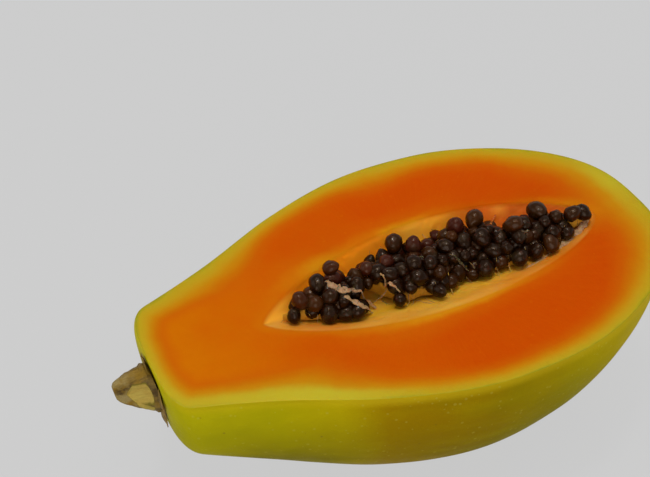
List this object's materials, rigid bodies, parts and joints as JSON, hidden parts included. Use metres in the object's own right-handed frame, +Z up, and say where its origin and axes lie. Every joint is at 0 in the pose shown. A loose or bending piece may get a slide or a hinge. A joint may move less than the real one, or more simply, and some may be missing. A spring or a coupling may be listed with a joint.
{
  "type": "papaya half",
  "caption": "Ripe papaya half with its cut face up, an open seed cavity full of dark seeds and a short woody stalk, resting on its round back.",
  "frame": {"origin": "bottom centre of the bounding box, on the surface that the half rests on", "axes": "+Z up, out of the cut face; +X from the stalk end to the blossom end"},
  "size_m": [0.2238, 0.1272, 0.0958],
  "materials": {
    "fruit": "moist orange flesh inside a waxy yellow-green skin",
    "seeds": "wet, near black with a reddish brown tint",
    "stalk": "dry, tan where it was cut, with a brown rind"
  },
  "bodies": {
    "root": {"fruit_half": "fruit", "seeds": "seeds", "stalk": "stalk"}
  },
  "joints": []
}
